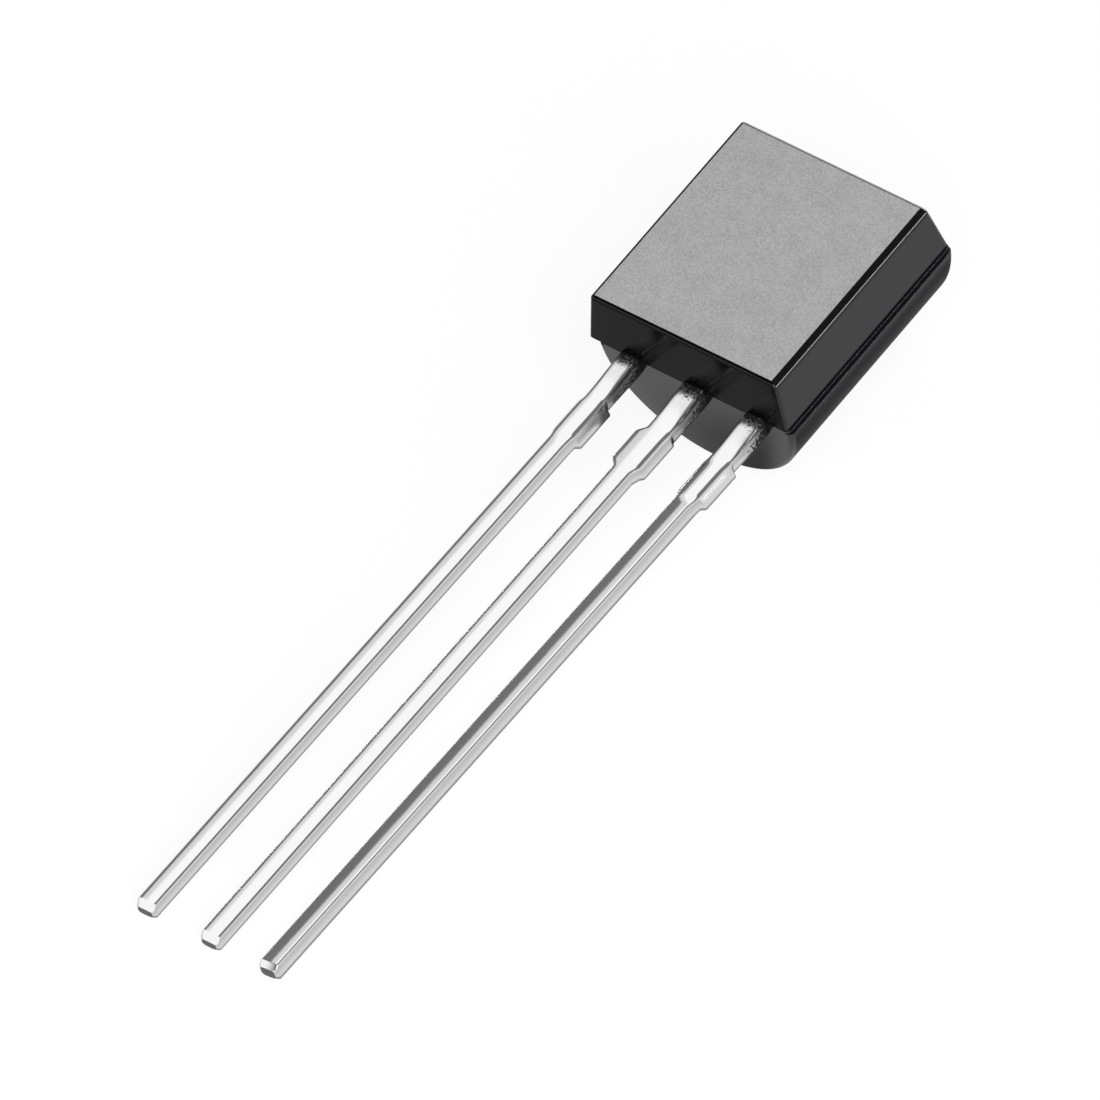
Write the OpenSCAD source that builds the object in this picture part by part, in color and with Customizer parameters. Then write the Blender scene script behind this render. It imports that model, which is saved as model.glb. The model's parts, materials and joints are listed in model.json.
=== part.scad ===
// Three-lead moulded transistor in the small D-section package, lying at rest
// on its round back and its three lead tips.
//
// Everything is drawn in the component's own frame and then laid down:
//   x  to the right, seen with the flat face forward and the leads down
//   y  along the leads, 0 at the lead end of the moulding, + towards its top
//   z  out of the flat face, 0 at the parting plane of the two mould halves

/* [Moulding] */
// Width of the flat-faced half at the parting plane
body_w = 4.02; // [3.7:0.01:4.7]
// Height of the moulding at the parting plane
body_h = 4.52; // [4.2:0.01:5.2]
// Depth of the flat-faced half, from the parting plane to the flat face
front_d = 1.04; // [0.85:0.01:1.4]
// Radius of the round rear half
rear_r = 1.965; // [1.8:0.005:2.3]
// Draft of the flat-faced half's two sides, in degrees
side_draft = 7; // [2:0.5:10]
// Draft of the flat-faced half's lead end, in degrees
lead_end_draft = 5; // [2:0.5:10]
// Draft of the flat-faced half's top end, in degrees
top_draft = 10; // [2:0.5:12]
// Draft of the rear half's two ends, in degrees
rear_draft = 4; // [2:0.5:8]
// Rounding of the flat face's four edges
face_edge_r = 0.08; // [0.04:0.01:0.15]
// Rounding of the flat-faced half's four corners
corner_r = 0.07; // [0.03:0.01:0.15]
// How far the flat-faced mould half sits to the left of the leads
front_shift = 0.08; // [0:0.01:0.12]
// How far the round mould half sits to the right of the leads
rear_shift = 0.05; // [0:0.01:0.12]

/* [Mould marks] */
// Diameter of the ejector pin's mark on the round back
ejector_d = 1.1; // [0.6:0.05:1.5]
// Depth of that mark below the crest of the back
ejector_depth = 0.05; // [0.02:0.01:0.1]
// Width of the broken-off gate on the top end
gate_w = 0.7; // [0.4:0.05:1.2]
// Thickness of the gate, measured behind the parting plane
gate_t = 0.22; // [0.12:0.01:0.35]
// How far the broken gate stands out of the top end
gate_stub = 0.05; // [0.02:0.01:0.1]

/* [Leads] */
// Spacing of the three leads where they leave the moulding
lead_pitch = 1.27; // [1.2:0.01:1.35]
// Thickness of the strip that the leads are stamped from
lead_t = 0.345; // [0.3:0.005:0.42]
// Depth of the strip's front face behind the parting plane
lead_drop = 0.05; // [0.02:0.01:0.12]
// Width of a lead between the moulding and the dam-bar stub
root_w = 0.37; // [0.3:0.01:0.44]
// Width of a lead below the dam-bar stub
leg_w = 0.36; // [0.29:0.01:0.42]
// Radius of a lead's front edges, rolled over as the strip was punched
front_edge_r = 0.06; // [0.03:0.005:0.09]
// Radius of a lead's back edges
back_edge_r = 0.04; // [0.02:0.005:0.06]
// Length of a lead outside the moulding
lead_l = 13.04; // [11:0.01:15]
// Sideways lean of the emitter lead, in degrees
emitter_lean = 0.86; // [0:0.02:1.5]
// Sideways lean of the base lead, in degrees
base_lean = 0.74; // [0:0.02:1.5]
// Sideways lean of the collector lead, in degrees
collector_lean = 1.14; // [0:0.02:1.5]
// Height and depth of the bevel that the cut leaves on a tip's front edge
tip_bevel = 0.11; // [0.04:0.01:0.14]
// Size of the small bevel on a tip's back edge
tip_back_bevel = 0.06; // [0.02:0.01:0.1]

/* [Dam-bar stubs] */
// Distance from the moulding to the cut dam bar
stub_gap = 1.05; // [0.7:0.01:1.4]
// Length of the cut dam bar along the lead
stub_l = 0.88; // [0.6:0.01:1.2]
// Length of the slanted run at each end of the stub
stub_ramp = 0.15; // [0.06:0.01:0.25]
// How far the stub stands out beside the root below its rolled front edge
stub_front = 0.04; // [0.01:0.005:0.06]
// Width and depth of the stub's front edge, rolled over as the bar was sheared
stub_roll = 0.07; // [0.03:0.005:0.1]
// How far the stub stands out beside the root at the strip's back face
stub_back = 0.09; // [0.07:0.005:0.12]

/* [Lead frame inside the moulding] */
// Height of the locking ears above the moulding's lead end
ear_y = 0.42; // [0.3:0.01:0.55]
// Length of the locking ears along the lead
ear_l = 0.3; // [0.15:0.01:0.35]
// Width across the locking ears
ear_w = 0.62; // [0.5:0.01:0.75]
// Distance from the moulding's lead end to the base lead's bonding post
base_post_y = 1.12; // [1.0:0.01:1.2]
// Width of the base lead's bonding post
base_post_w = 0.92; // [0.6:0.01:1.1]
// Distance from the moulding's lead end to the emitter lead's bonding post
emitter_post_y = 2.25; // [1.8:0.01:2.6]
// Width of the emitter lead's bonding post
emitter_post_w = 0.6; // [0.45:0.01:0.7]
// Length of both bonding posts
post_l = 0.46; // [0.35:0.01:0.5]
// Distance from the moulding's lead end to the chip paddle
paddle_y = 1.98; // [1.9:0.01:2.2]
// Width of the chip paddle, from the collector lead's outer edge inwards
paddle_w = 2.05; // [1.7:0.01:2.1]
// Height of the chip paddle
paddle_h = 1.6; // [1.3:0.01:1.9]
// Chamfer on the paddle's corners
paddle_chamfer = 0.2; // [0.1:0.01:0.3]
// Diameter of the locking hole in the paddle
lock_hole_d = 0.3; // [0.2:0.01:0.4]

/* [Chip and bond wires] */
// Side of the square chip
chip_w = 0.8; // [0.6:0.01:1]
// Thickness of the chip
chip_t = 0.2; // [0.12:0.01:0.3]
// Thickness of the bonding layer under the chip
attach_t = 0.03; // [0.02:0.005:0.05]
// How far the bonding layer shows round the chip
attach_rim = 0.04; // [0.02:0.01:0.08]
// Diameter of the bond wires
wire_d = 0.05; // [0.04:0.005:0.07]
// Rise of a wire's arch above the straight line between its ends
wire_arch = 0.36; // [0.28:0.01:0.45]
// Diameter of the ball that starts each wire on the chip
ball_d = 0.13; // [0.11:0.01:0.16]
// Height of that ball
ball_h = 0.04; // [0.03:0.005:0.06]
// Distance of each bonding pad's centre from the chip's left edge
pad_inset = 0.2; // [0.12:0.01:0.3]

/* [Hidden] */
$fn = 64;

// Depths in the moulding: strip faces, the upper edge of a cut tip's flat end,
// chip faces and the plane the wires start on
strip_front_z = -lead_drop;
strip_back_z = strip_front_z - lead_t;
tip_mid_z = strip_front_z - tip_bevel;
chip_z = strip_front_z + attach_t;
pad_z = chip_z + chip_t;
ball_top_z = pad_z + ball_h;

// Lead positions across the package
emitter_x = -lead_pitch;
base_x = 0;
collector_x = lead_pitch;

// The chip paddle's box, and the chip at its centre
paddle_x1 = collector_x + root_w / 2;
paddle_x0 = paddle_x1 - paddle_w;
chip_x = (paddle_x0 + paddle_x1) / 2;
chip_y = paddle_y + paddle_h / 2;

// The lock hole sits in the paddle's corner above the collector lead
lock_hole_x = (chip_x + chip_w / 2 + paddle_x1) / 2;
lock_hole_y = paddle_y + paddle_h - paddle_chamfer - lock_hole_d / 2;

// Where the wires start on the chip and end on the posts
pad_x = chip_x - chip_w / 2 + pad_inset;
base_pad = [pad_x, chip_y - chip_w / 2 + pad_inset];
emitter_pad = [pad_x, chip_y + chip_w / 2 - pad_inset];
base_stitch = [base_x, base_post_y + post_l / 2];
emitter_stitch = [emitter_x, emitter_post_y + post_l / 2];

// Overlap that carries a cutting shape clear of the faces it cuts
clear = 1;
// Segments in the rounding of a mould edge
edge_steps = 5;

// Where the round back first meets a flat surface, and where the tips do
back_end_y = rear_r * tan(rear_draft);
tip_end_y = -(lead_l - tip_back_bevel);
// Slope at which the part lies on those two lines
rest_tilt = atan((rear_r + strip_back_z) / (back_end_y - tip_end_y));
// Height of the parting plane's y = 0 line above that surface
rest_lift = rear_r * cos(rest_tilt) - back_end_y * sin(rest_tilt);
// Ends of the part along the surface, for its origin at the middle
rest_y0 = -lead_l * cos(rest_tilt) - tip_mid_z * sin(rest_tilt);
rest_y1 = (body_h - back_end_y) * cos(rest_tilt) + rear_r * sin(rest_tilt);
rest_shift = -(rest_y0 + rest_y1) / 2;

// Points along an arc from angle a0 to a1
function arc(centre, r, a0, a1) = [
    for (i = [0 : edge_steps])
        let (a = a0 + (a1 - a0) * i / edge_steps)
        centre + r * [cos(a), sin(a)]
];

// Section of a drafted block: u0 to u1 wide at height 0, drafted by a0 and a1
// degrees up to height d, with its two upper corners rounded by r
function drafted(u0, u1, d, a0, a1, r) = let (
    c0 = [u0 + (r + (d - r) * sin(a0)) / cos(a0), d - r],
    c1 = [u1 - (r + (d - r) * sin(a1)) / cos(a1), d - r]
) concat([[u0, 0], [u1, 0]], arc(c1, r, a1, 90), arc(c0, r, 90, 180 - a0));

// Extrudes a profile drawn as (y, z) along x, by half the length each way
module along_x(length) {
    rotate([90, 0, 90])
        linear_extrude(length, center = true)
            children();
}

// Extrudes a profile drawn as (x, z) along y, from y0 to y1
module along_y(y0, y1) {
    translate([0, y1, 0])
        rotate([90, 0, 0])
            linear_extrude(y1 - y0)
                children();
}

// Lays the component down on its back and its lead tips
module at_rest() {
    translate([0, rest_shift, rest_lift])
        rotate([rest_tilt, 0, 0])
            children();
}

// What rounding takes off a corner of the flat-faced half, on the right (side 1)
// or left (-1), at the top end (end 1) or the lead end (-1). The corner leans in
// with both drafts, and facets that touch the arc from outside cross both faces.
module corner_waste(side, end, end_draft) {
    outer_r = corner_r / cos(45 / edge_steps);
    waste = concat(
        arc([-corner_r, -corner_r], outer_r, 0, 90),
        [[-corner_r, clear], [clear, clear], [clear, -corner_r]]
    );
    translate([side * body_w / 2, end > 0 ? body_h : 0, 0])
        rotate([end * atan(tan(end_draft) * cos(side_draft)), -side * side_draft, 0])
            translate([0, 0, -clear])
                linear_extrude(front_d + 2 * clear)
                    polygon([for (p = waste) [side * p[0], end * p[1]]]);
}

// Flat-faced mould half: two drafted prisms crossed, with rounded corners
module front_half() {
    translate([-front_shift, 0, 0])
        difference() {
            intersection() {
                along_y(-clear, body_h + clear)
                    polygon(drafted(-body_w / 2, body_w / 2, front_d, side_draft, side_draft,
                        face_edge_r));
                along_x(body_w + clear)
                    polygon(drafted(0, body_h, front_d, lead_end_draft, top_draft, face_edge_r));
            }
            for (side = [-1, 1]) {
                corner_waste(side, -1, lead_end_draft);
                corner_waste(side, 1, top_draft);
            }
        }
}

// Round mould half: a half cylinder between two drafted ends, with the
// ejector pin's mark sunk into the crest of its back
module rear_half() {
    reach = rear_r + clear;
    end_in = reach * tan(rear_draft);
    translate([rear_shift, 0, 0])
        difference() {
            intersection() {
                along_y(-clear, body_h + clear)
                    intersection() {
                        circle(r = rear_r);
                        translate([-reach, -reach])
                            square([2 * reach, reach]);
                    }
                along_x(2 * reach)
                    polygon([[0, 0], [end_in, -reach], [body_h - end_in, -reach], [body_h, 0]]);
            }
            translate([0, body_h / 2, -reach])
                cylinder(d = ejector_d, h = clear + ejector_depth);
        }
}

// Remains of the gate, through which the mould was filled, at the top end
module gate_scar() {
    root = gate_t * tan(rear_draft);
    along_x(gate_w)
        polygon([
            [body_h - clear / 2, 0], [body_h + gate_stub, 0],
            [body_h + gate_stub - root, -gate_t], [body_h - clear / 2, -gate_t]
        ]);
}

module body() {
    color([0.15, 0.15, 0.16])
        at_rest()
            difference() {
                union() {
                    front_half();
                    rear_half();
                    gate_scar();
                }
                emitter_strip();
                base_strip();
                collector_strip();
                attach_layer();
                chip_block();
                bond_wire(base_pad, base_stitch);
                bond_wire(emitter_pad, emitter_stitch);
            }
}

// Outline of a lead outside the moulding, and up to height y_in inside it.
// Its centre line leans sideways below the moulding.
module leg_outline(x, lean, y_in) {
    y_stub = -stub_gap - stub_l;
    rows = [
        [y_in, root_w / 2], [0, root_w / 2], [y_stub + stub_ramp, root_w / 2],
        [y_stub, leg_w / 2], [-lead_l, leg_w / 2]
    ];
    function at(row, side) = [x + min(row[0], 0) * tan(lean) + side * row[1], row[0]];
    last = len(rows) - 1;
    polygon(concat(
        [for (i = [0 : last]) at(rows[i], 1)],
        [for (i = [0 : last]) at(rows[last - i], -1)]
    ));
}

// What lies outside a rounded corner at the origin, up and to the right of it
module rounding_waste(r) {
    difference() {
        square(r + clear);
        circle(r = r);
    }
}

// What rounding takes off the four long edges of a lead w wide
module edge_waste(w) {
    for (side = [0, 1])
        mirror([side, 0]) {
            translate([w / 2 - front_edge_r, strip_front_z - front_edge_r])
                rounding_waste(front_edge_r);
            translate([w / 2 - back_edge_r, strip_back_z + back_edge_r])
                mirror([0, 1])
                    rounding_waste(back_edge_r);
        }
}

// The same along a whole lead outside the moulding; leg and root, which differ
// in width, change over inside the stub
module rolled_edges(x, lean) {
    y_stub = -stub_gap - stub_l / 2;
    translate([x, 0, 0])
        rotate([0, 0, -lean]) {
            along_y(-lead_l - clear, y_stub)
                edge_waste(leg_w);
            along_y(y_stub, 0)
                edge_waste(root_w);
        }
}

// What is left of the dam bar on a lead: its sheared flanks spread towards
// the back of the strip, and its ends run out on slants
module stub(x, lean) {
    half = root_w / 2 + stub_back;
    front = root_w / 2 + stub_front;
    translate([x, 0, 0])
        rotate([0, 0, -lean])
            intersection() {
                translate([0, 0, strip_back_z])
                    linear_extrude(lead_t)
                        polygon([
                            [-root_w / 4, -stub_gap], [root_w / 4, -stub_gap],
                            [half, -stub_gap - stub_ramp],
                            [half, -stub_gap - stub_l + stub_ramp],
                            [leg_w / 4, -stub_gap - stub_l], [-leg_w / 4, -stub_gap - stub_l],
                            [-half, -stub_gap - stub_l + stub_ramp],
                            [-half, -stub_gap - stub_ramp]
                        ]);
                along_y(-stub_gap - stub_l - clear, -stub_gap + clear)
                    polygon([
                        [-half, strip_back_z], [half, strip_back_z],
                        [front, strip_front_z - stub_roll], [front - stub_roll, strip_front_z],
                        [stub_roll - front, strip_front_z], [-front, strip_front_z - stub_roll]
                    ]);
            }
}

// A lead stamped from strip: the child is its outline inside the moulding,
// its long edges are rounded, and the cut tip is bevelled on both faces
module strip(x, lean, y_in) {
    union() {
        difference() {
            intersection() {
                translate([0, 0, strip_back_z])
                    linear_extrude(lead_t)
                        union() {
                            leg_outline(x, lean, y_in);
                            translate([x - ear_w / 2, ear_y])
                                square([ear_w, ear_l]);
                            children();
                        }
                along_x(4 * lead_pitch + clear)
                    polygon([
                        [body_h, strip_back_z], [tip_end_y, strip_back_z],
                        [-lead_l, strip_back_z + tip_back_bevel], [-lead_l, tip_mid_z],
                        [-lead_l + tip_bevel, strip_front_z], [body_h, strip_front_z]
                    ]);
            }
            rolled_edges(x, lean);
        }
        stub(x, lean);
    }
}

module emitter_strip() {
    strip(emitter_x, emitter_lean, emitter_post_y + post_l / 2)
        translate([emitter_x - emitter_post_w / 2, emitter_post_y])
            square([emitter_post_w, post_l]);
}

module base_strip() {
    strip(base_x, base_lean, base_post_y + post_l / 2)
        translate([base_x - base_post_w / 2, base_post_y])
            square([base_post_w, post_l]);
}

// The collector's strip widens into the paddle that carries the chip
module collector_strip() {
    top = paddle_y + paddle_h;
    difference() {
        strip(collector_x, collector_lean, chip_y)
            polygon([
                [paddle_x0 + paddle_chamfer, paddle_y], [paddle_x1, paddle_y],
                [paddle_x1, top - paddle_chamfer], [paddle_x1 - paddle_chamfer, top],
                [paddle_x0 + paddle_chamfer, top], [paddle_x0, top - paddle_chamfer],
                [paddle_x0, paddle_y + paddle_chamfer]
            ]);
        translate([lock_hole_x, lock_hole_y, strip_back_z - clear])
            cylinder(d = lock_hole_d, h = lead_t + 2 * clear);
    }
}

module emitter_lead() {
    color([0.82, 0.83, 0.84])
        at_rest()
            emitter_strip();
}

module base_lead() {
    color([0.8, 0.81, 0.82])
        at_rest()
            base_strip();
}

module collector_lead() {
    color([0.78, 0.79, 0.8])
        at_rest()
            collector_strip();
}

module attach_layer() {
    side = chip_w + 2 * attach_rim;
    translate([chip_x - side / 2, chip_y - side / 2, strip_front_z])
        cube([side, side, attach_t]);
}

module chip_block() {
    translate([chip_x - chip_w / 2, chip_y - chip_w / 2, chip_z])
        cube([chip_w, chip_w, chip_t]);
}

module die_attach() {
    color([0.62, 0.63, 0.64])
        at_rest()
            attach_layer();
}

module transistor_chip() {
    color([0.3, 0.31, 0.36])
        at_rest()
            chip_block();
}

// A wire from its ball on a chip pad, over an arch, down to a bonding post:
// part of one ring, cut off inside the ball and at the post's face
module bond_wire(pad, stitch) {
    run = norm(stitch - pad);
    drop = ball_top_z - strip_front_z;
    chord = norm([run, drop]);
    foot_z = pad_z + ball_h / 2;
    ring_r = chord * chord / (8 * wire_arch) + wire_arch / 2;
    below = ring_r - wire_arch;
    centre_u = run / 2 - below * drop / chord;
    centre_z = (ball_top_z + strip_front_z) / 2 - below * run / chord;
    heading = atan2(stitch[1] - pad[1], stitch[0] - pad[0]);
    translate([pad[0], pad[1], 0])
        rotate([0, 0, heading])
            union() {
                difference() {
                    translate([centre_u, 0, centre_z])
                        rotate([90, 0, 0])
                            rotate_extrude()
                                translate([ring_r, 0])
                                    circle(d = wire_d, $fn = 24);
                    translate([-ring_r, -wire_d, centre_z - ring_r - clear])
                        cube([run + 2 * ring_r, 2 * wire_d,
                            strip_front_z - centre_z + ring_r + clear]);
                    translate([-ring_r, -wire_d, centre_z - ring_r - clear])
                        cube([ring_r + run / 2, 2 * wire_d,
                            foot_z - centre_z + ring_r + clear]);
                }
                translate([0, 0, pad_z])
                    cylinder(d = ball_d, h = ball_h);
            }
}

module base_bond_wire() {
    color([0.85, 0.62, 0.3])
        at_rest()
            bond_wire(base_pad, base_stitch);
}

module emitter_bond_wire() {
    color([0.85, 0.62, 0.3])
        at_rest()
            bond_wire(emitter_pad, emitter_stitch);
}

body();
emitter_lead();
base_lead();
collector_lead();
transistor_chip();
die_attach();
base_bond_wire();
emitter_bond_wire();
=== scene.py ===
# %% [markdown]
# # A small three-lead transistor, lying on its round back
#
# The real thing is a black moulding no bigger than a lentil, with three tinned
# leads stamped from one strip. The solids come packed from the construction
# model and give every piece its place. This file gives the pieces their finish:
# rounded mould edges, rolled and sheared strip edges, plating, and the light.

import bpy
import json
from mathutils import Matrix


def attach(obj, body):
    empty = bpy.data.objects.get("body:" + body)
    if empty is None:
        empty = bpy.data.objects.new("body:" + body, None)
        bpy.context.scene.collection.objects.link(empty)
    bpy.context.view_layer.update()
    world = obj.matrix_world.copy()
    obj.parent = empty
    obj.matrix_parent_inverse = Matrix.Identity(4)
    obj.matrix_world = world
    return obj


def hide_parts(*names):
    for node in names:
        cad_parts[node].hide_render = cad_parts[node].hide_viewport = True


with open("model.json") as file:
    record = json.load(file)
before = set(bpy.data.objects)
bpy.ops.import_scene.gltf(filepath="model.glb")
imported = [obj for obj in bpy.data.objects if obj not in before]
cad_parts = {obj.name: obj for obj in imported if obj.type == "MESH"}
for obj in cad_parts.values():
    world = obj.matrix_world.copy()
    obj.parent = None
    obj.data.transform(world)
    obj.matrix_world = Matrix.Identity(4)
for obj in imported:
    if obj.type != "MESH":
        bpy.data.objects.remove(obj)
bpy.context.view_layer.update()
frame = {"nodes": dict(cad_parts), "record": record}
print("solids:", sorted(frame["nodes"]))

# %% [markdown]
# ## Two coordinate systems
#
# The part lies tilted, with its round back and its lead tips on the surface. A
# moulding is easier to describe upright, so every shape below is drawn in
# millimetres in the component's own frame: x across the leads, y along them with
# 0 at the lead end of the moulding, z out of the flat face with 0 at the parting
# plane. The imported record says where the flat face's centre is and which way it
# looks, and that is all that is needed to lay a shape down beside the solids.

# %% From the component's frame to the frame that the part lies in
import json
import math

import bmesh
import bpy
import numpy as np
from mathutils import Matrix, Vector

MM = 0.001

BODY_W, BODY_H = 4.02, 4.52
FRONT_D, REAR_R = 1.04, 1.965
SIDE_DRAFT, LEAD_END_DRAFT, TOP_DRAFT, REAR_DRAFT = np.radians([7.0, 5.0, 10.0, 4.0])
FRONT_SHIFT, REAR_SHIFT = 0.08, 0.05

face_low = FRONT_D * math.tan(LEAD_END_DRAFT)
face_high = BODY_H - FRONT_D * math.tan(TOP_DRAFT)
face_centre = np.array([-FRONT_SHIFT, (face_low + face_high) / 2, FRONT_D])

flat_front = next(m for m in frame["record"]["mounts"] if m["name"] == "flat_front")
lie_angle = math.atan2(-flat_front["axis"][1], flat_front["axis"][2])
LIE = np.array(Matrix.Rotation(lie_angle, 3, "X"))
LIE_OFFSET = np.array(flat_front["pos_m"]) / MM - LIE @ face_centre
print(f"lies at {math.degrees(lie_angle):.2f} degrees, shifted by {LIE_OFFSET.round(3)} mm")


def lay_down(points):
    """Component millimetres to metres at rest: turn about x by the lie angle, shift, scale."""
    return (np.asarray(points, float) @ LIE.T + LIE_OFFSET) * MM


# %% [markdown]
# ## From numbers to a mesh
#
# A curved surface here is a grid of points worked out from two parameters, so
# its faces follow from the grid's rows and columns. Points that share a place,
# at a seam or at a pole, are welded, which also turns the quads round a pole
# into triangles. The normals are then pointed outwards all over. A boolean
# leaves slivers where two faces almost meet, so its result is welded as well,
# and the edges that don't join two faces are counted each time.

# %% Helpers that turn grids of points into one closed piece
WELD = 2e-7


def grid_faces(rows, columns, first=0, wrap=False):
    """The quads of a rows x columns grid of points, numbered from first.

    wrap joins the last column to the first.
    """
    index = first + np.arange(rows * columns).reshape(rows, columns)
    beside = np.roll(index, -1, axis=1)
    quads = np.stack([index[:-1], beside[:-1], beside[1:], index[1:]], axis=-1)
    return (quads if wrap else quads[:, :-1]).reshape(-1, 4)


def weld(mesh):
    """Merges doubled points, drops slivers and turns the faces outwards.

    Returns how many edges aren't shared by exactly two faces.
    """
    shape = bmesh.new()
    shape.from_mesh(mesh)
    bmesh.ops.remove_doubles(shape, verts=shape.verts, dist=WELD)
    bmesh.ops.dissolve_degenerate(shape, edges=shape.edges, dist=WELD)
    bmesh.ops.recalc_face_normals(shape, faces=shape.faces)
    open_edges = sum(len(edge.link_faces) != 2 for edge in shape.edges)
    shape.to_mesh(mesh)
    shape.free()
    return open_edges


def closed_piece(name, grids, marks=None):
    """A welded mesh from grids, each (points of shape (rows, columns, 3) in component mm, wrap).

    marks maps an attribute's name to its values at all the grids' points.
    """
    points, faces, first = [], [], 0
    for grid, wrap in grids:
        rows, columns = grid.shape[:2]
        points.append(lay_down(grid).reshape(-1, 3))
        faces.append(grid_faces(rows, columns, first, wrap))
        first += rows * columns
    mesh = bpy.data.meshes.new(name)
    mesh.from_pydata(np.concatenate(points).tolist(), [], np.concatenate(faces).tolist())
    for label, values in (marks or {}).items():
        mesh.attributes.new(label, "FLOAT", "POINT").data.foreach_set("value", values)
    open_edges = weld(mesh)
    piece = bpy.data.objects.new(name, mesh)
    bpy.context.scene.collection.objects.link(piece)
    print(f"{name}: {len(mesh.polygons)} faces, {open_edges} open edges")
    return piece


def smooth_but_crisp(piece, crisp_angle=40.0):
    """Shades smooth, and keeps edges sharper than crisp_angle degrees as edges."""
    piece.data.shade_smooth()
    piece.data.set_sharp_from_angle(angle=math.radians(crisp_angle))


def carve(piece, tool, operation):
    """Applies a boolean of piece with tool, and removes the tool."""
    modifier = piece.modifiers.new("carve", "BOOLEAN")
    modifier.operation, modifier.solver, modifier.object = operation, "EXACT", tool
    bpy.context.view_layer.update()
    carved = bpy.data.meshes.new_from_object(
        piece.evaluated_get(bpy.context.evaluated_depsgraph_get()))
    piece.modifiers.remove(modifier)
    piece.data = carved
    bpy.data.objects.remove(tool)
    open_edges = weld(carved)
    print(f"{piece.name}: {operation.lower()}, now {len(carved.polygons)} faces,",
          f"{open_edges} open edges")


# %% [markdown]
# ## The camera
#
# A small part is photographed from far away through a long lens, so its edges
# stay almost parallel. The camera is given by the point that it aims at, its
# bearing round the part, its height, a slight roll and its distance.

# %% Place the camera
AIM = Vector((-1.0526, 1.4979, -0.1521)) * MM
AZIMUTH, ELEVATION, ROLL = np.radians([41.247, 45.691, -5.899])
DISTANCE = 436.3 * MM
LENS = 879.1

camera_data = bpy.data.cameras.new("camera")
camera_data.lens, camera_data.sensor_width = LENS, 36.0
camera_data.clip_start, camera_data.clip_end = 10 * MM, 5.0
camera = bpy.data.objects.new("camera", camera_data)
bpy.context.scene.collection.objects.link(camera)
camera_back = Vector((math.sin(AZIMUTH) * math.cos(ELEVATION),
                      -math.cos(AZIMUTH) * math.cos(ELEVATION),
                      math.sin(ELEVATION)))
level_right = Vector((math.cos(AZIMUTH), math.sin(AZIMUTH), 0.0))
level_up = camera_back.cross(level_right)
level_axes = Matrix((level_right, level_up, camera_back)).transposed()
camera_turn = level_axes @ Matrix.Rotation(ROLL, 3, "Z")
camera.matrix_world = Matrix.Translation(AIM + camera_back * DISTANCE) @ camera_turn.to_4x4()
bpy.context.scene.camera = camera
print("camera stands at", [round(c / MM, 1) for c in camera.location], "mm")

# %% [markdown]
# ## Mould, edges and draft
#
# The moulding is pressed between two mould halves. The flat-faced half is a
# drafted block and the other a half cylinder with drafted ends, and the halves
# never meet quite true, so a narrow ledge runs along each side. One grid carries
# the whole skin: rings run outwards over the flat face, round its rim, down the
# drafted sides and across the ledge, and the round half takes over from the last
# ring. All the rings have the same number of points, which is why each of them
# is split into the same stretches: half an end, a corner, a side, a corner and
# half an end, and the same again on the other side.

# %% How a ring is split, and the section of the round half
RIM_R, RIM_RIGHT_R = 0.08, 0.145
CORNER_R = 0.07
END_FILLET = 0.10
GROOVE_R = 0.022
LEDGE_EDGE_R, STEP_EDGE_R = 0.008, 0.010
LEDGE_STEP, LEDGE_DROP = 0.048, 0.058
SUPPORT = 0.006

END_PARTS = np.array([0.0, 0.35, 0.7, 1.0])
SIDE_PARTS = np.array([0.0, 0.003, 0.1, 0.3, 0.5, 0.7, 0.9, 0.997, 1.0])
CORNER_TURNS = np.radians(np.linspace(0.0, 90.0, 9))


def half_ring(x_mid, x_side, y_low, y_high, corner, z_low, z_side, z_high):
    """Half an outline from the middle of the lead end to the middle of the top end.

    Straight runs join two quarter circles of radius corner. x_side may lie on
    either side of x_mid. The height blends from each end's to the side's as the
    corner turns.
    """
    way = np.sign(x_side - x_mid)
    turn = CORNER_TURNS[1:]
    share = turn / CORNER_TURNS[-1]
    inner = x_side - way * corner
    x = np.concatenate([
        x_mid + (inner - x_mid) * END_PARTS,
        inner + way * corner * np.sin(turn),
        np.full(len(SIDE_PARTS) - 1, x_side),
        inner + way * corner * np.cos(turn),
        (inner + (x_mid - inner) * (1 - END_PARTS[::-1]))[1:],
    ])
    y = np.concatenate([
        np.full(len(END_PARTS), y_low),
        y_low + corner * (1 - np.cos(turn)),
        (y_low + corner + (y_high - y_low - 2 * corner) * SIDE_PARTS)[1:],
        y_high - corner * (1 - np.sin(turn)),
        np.full(len(END_PARTS) - 1, y_high),
    ])
    z = np.concatenate([
        np.full(len(END_PARTS), z_low),
        z_low + (z_side - z_low) * share,
        np.full(len(SIDE_PARTS) - 1, z_side),
        z_side + (z_high - z_side) * share,
        np.full(len(END_PARTS) - 1, z_high),
    ])
    return np.stack([x, y, z], axis=-1)


def full_ring(right, left):
    """Joins the right half outline to the left one, run backwards, without its two end points."""
    return np.concatenate([right, left[-2:0:-1]])


# %% [markdown]
# A mould edge is never sharp. Where the flat face meets a side, the profile is
# an arc that starts at the side's own slope and ends level with the face; at the
# parting plane a much smaller arc leaves a groove that catches a shadow.

# %% The flat-faced half, as a stack of rings
def rim_profile(draft, rim, turns):
    """Inset and height of the rim arc at turns, from 0 at the side to 1 at the face.

    Its centre lies one rim radius inside the face and the sloping side.
    """
    inset = (rim + (FRONT_D - rim) * math.sin(draft)) / math.cos(draft)
    angle = draft + (math.pi / 2 - draft) * turns
    return inset - rim * np.cos(angle), FRONT_D - rim + rim * np.sin(angle)


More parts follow.
